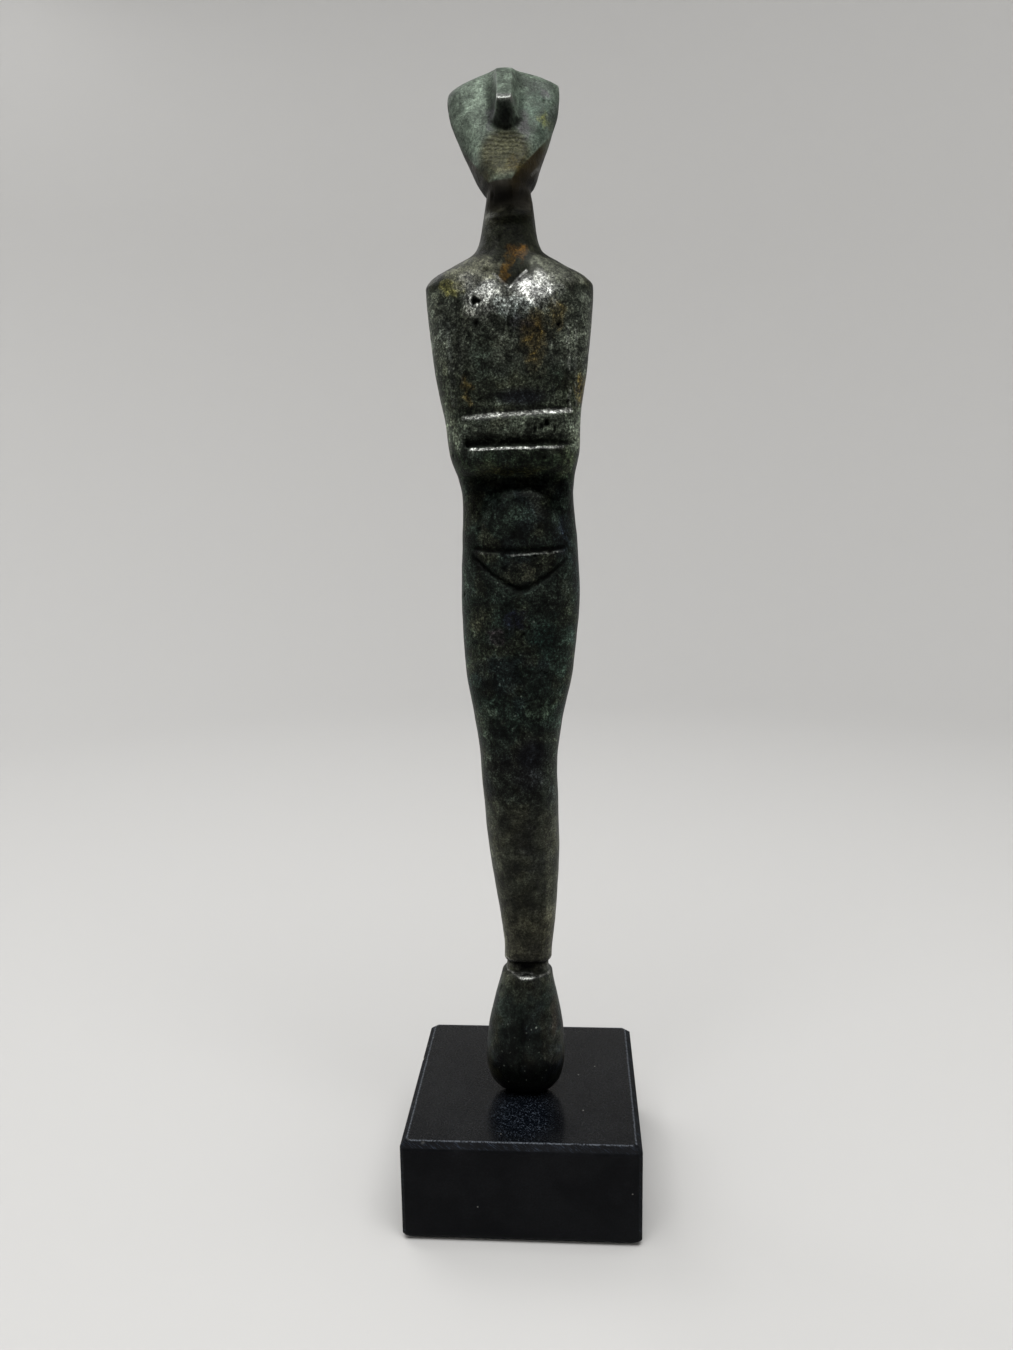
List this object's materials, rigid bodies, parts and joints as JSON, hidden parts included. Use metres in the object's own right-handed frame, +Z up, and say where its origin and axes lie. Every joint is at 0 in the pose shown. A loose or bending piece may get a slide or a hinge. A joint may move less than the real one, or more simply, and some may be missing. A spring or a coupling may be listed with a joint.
{
  "type": "cycladic idol",
  "caption": "Slim standing idol with a tilted shield-shaped face, long nose and folded arms, cast in dark patinated bronze and fixed upright on a square bevelled stone block.",
  "frame": {"origin": "centre of the stone block's underside", "axes": "+Z up along the figure, -Y the way the figure faces, +X to the right of someone looking at its face"},
  "size_m": [0.045, 0.045, 0.2153],
  "materials": {
    "patinated_bronze": "satin",
    "dark_stone": "polished"
  },
  "bodies": {
    "root": {"idol": "patinated_bronze", "stone_base": "dark_stone"}
  },
  "joints": []
}
